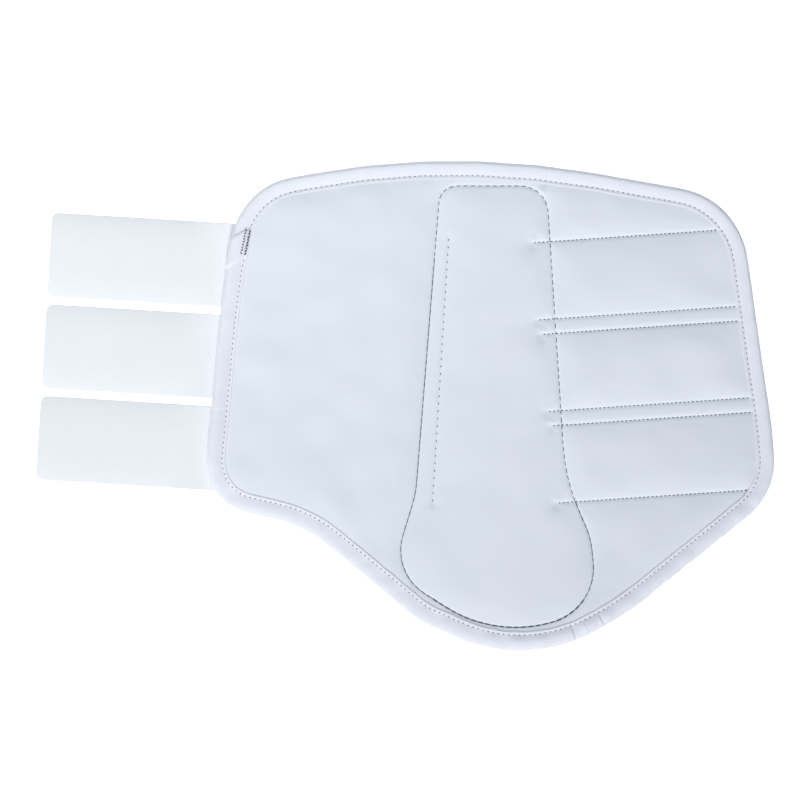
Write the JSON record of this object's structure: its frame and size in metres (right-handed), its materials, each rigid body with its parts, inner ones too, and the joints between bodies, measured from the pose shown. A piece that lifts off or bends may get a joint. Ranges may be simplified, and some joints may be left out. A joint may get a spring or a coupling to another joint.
{
  "type": "horse splint boot",
  "caption": "Padded wrap-round leg boot with a bound edge, a keyhole-shaped strike pad and hook straps that close on loop patches.",
  "frame": {"origin": "centre of the strike pad's flat outer face, which the opened boot rests on", "axes": "+Z out of the lining, towards the leg; +Y to the boot's top edge; +X away from the straps, so the straps point along -X"},
  "size_m": [0.4384, 0.2905, 0.017],
  "materials": {
    "lining": "smooth close-woven synthetic lining, white with a faint blue cast",
    "foam": "fine closed-cell foam, off-white",
    "shell": "white synthetic leather, fine grain, satin",
    "binding": "white woven bias tape with a soft sheen",
    "thread": "cool grey twisted sewing thread",
    "hook_tape": "white woven hook tape, matt with fine hooks",
    "loop_tape": "white brushed loop tape, matt and fuzzy",
    "strike_cover": "white synthetic leather, pebble grain, satin",
    "strike_plate": "dark moulded plastic sheet"
  },
  "bodies": {
    "centre_panel": {"lining_centre": "lining", "padding_centre": "foam", "shell_centre": "shell", "binding_centre": "binding", "binding_seam_centre": "thread", "strike_pad_cover": "strike_cover", "strike_plate": "strike_plate", "strike_pad_foam": "foam", "strike_pad_seam": "thread", "strap_anchor_seam": "thread", "strap_roots": "hook_tape", "patch_roots": "loop_tape", "patch_seams_centre": "thread"},
    "left_side": {"lining_left_side": "lining", "padding_left_side": "foam", "shell_left_side": "shell", "binding_left_side": "binding", "binding_seam_left_side": "thread", "straps_over_left_side": "hook_tape"},
    "left_edge": {"lining_left_edge": "lining", "padding_left_edge": "foam", "shell_left_edge": "shell", "binding_left_edge": "binding", "binding_seam_left_edge": "thread", "binding_join": "binding", "straps_over_left_edge": "hook_tape"},
    "right_side": {"lining_right_side": "lining", "padding_right_side": "foam", "shell_right_side": "shell", "binding_right_side": "binding", "binding_seam_right_side": "thread", "patch_top_side": "loop_tape", "patch_middle_side": "loop_tape", "patch_bottom_side": "loop_tape", "patch_seams_side": "thread"},
    "right_edge": {"lining_right_edge": "lining", "padding_right_edge": "foam", "shell_right_edge": "shell", "binding_right_edge": "binding", "binding_seam_right_edge": "thread", "patch_top_edge": "loop_tape", "patch_middle_edge": "loop_tape", "patch_bottom_edge": "loop_tape", "patch_seams_edge": "thread"},
    "strap_top": {"strap_top_reach": "hook_tape"},
    "strap_top_tip": {"strap_top_tip": "hook_tape"},
    "strap_middle": {"strap_middle_reach": "hook_tape"},
    "strap_middle_tip": {"strap_middle_tip": "hook_tape"},
    "strap_bottom": {"strap_bottom_reach": "hook_tape"},
    "strap_bottom_tip": {"strap_bottom_tip": "hook_tape"}
  },
  "joints": [
    {"name": "left_fold", "type": "hinge", "parent": "centre_panel", "child": "left_side", "pos_m": [-0.055, 0, 0.0171], "axis": [0.0523, 0.9986, 0], "range_deg": [0, 93]},
    {"name": "left_curl", "type": "hinge", "parent": "left_side", "child": "left_edge", "pos_m": [-0.105, 0, 0.0171], "axis": [0.0611, 0.9981, 0], "range_deg": [0, 59.6]},
    {"name": "right_fold", "type": "hinge", "parent": "centre_panel", "child": "right_side", "pos_m": [0.056, 0, 0.0171], "axis": [0.0611, -0.9981, 0], "range_deg": [0, 90]},
    {"name": "right_curl", "type": "hinge", "parent": "right_side", "child": "right_edge", "pos_m": [0.106, 0, 0.0171], "axis": [0.0523, -0.9986, 0], "range_deg": [0, 57.7]},
    {"name": "strap_top_fold", "type": "hinge", "parent": "left_edge", "child": "strap_top", "pos_m": [-0.16997, 0.081, 0.0083], "axis": [0.1132, 0.9936, 0], "range_deg": [0, 59.8]},
    {"name": "strap_top_curl", "type": "hinge", "parent": "strap_top", "child": "strap_top_tip", "pos_m": [-0.23252, 0.0848, 0.0083], "axis": [0.1908, 0.9816, 0], "range_deg": [0, 57.7]},
    {"name": "strap_middle_fold", "type": "hinge", "parent": "left_edge", "child": "strap_middle", "pos_m": [-0.17616, 0.0267, 0.0083], "axis": [0.1132, 0.9936, 0], "range_deg": [0, 59.8]},
    {"name": "strap_middle_curl", "type": "hinge", "parent": "strap_middle", "child": "strap_middle_tip", "pos_m": [-0.24301, 0.0308, 0.0083], "axis": [0.1908, 0.9816, 0], "range_deg": [0, 57.7]},
    {"name": "strap_bottom_fold", "type": "hinge", "parent": "left_edge", "child": "strap_bottom", "pos_m": [-0.18234, -0.0276, 0.0083], "axis": [0.1132, 0.9936, 0], "range_deg": [0, 59.8]},
    {"name": "strap_bottom_curl", "type": "hinge", "parent": "strap_bottom", "child": "strap_bottom_tip", "pos_m": [-0.25349, -0.0231, 0.0083], "axis": [0.1908, 0.9816, 0], "range_deg": [0, 57.7]}
  ],
  "couplings": [
    {"joint": "left_curl", "follows": "left_fold", "ratio": 0.64},
    {"joint": "right_curl", "follows": "right_fold", "ratio": 0.64},
    {"joint": "strap_top_curl", "follows": "strap_top_fold", "ratio": 0.963},
    {"joint": "strap_middle_curl", "follows": "strap_middle_fold", "ratio": 0.963},
    {"joint": "strap_bottom_curl", "follows": "strap_bottom_fold", "ratio": 0.963}
  ]
}
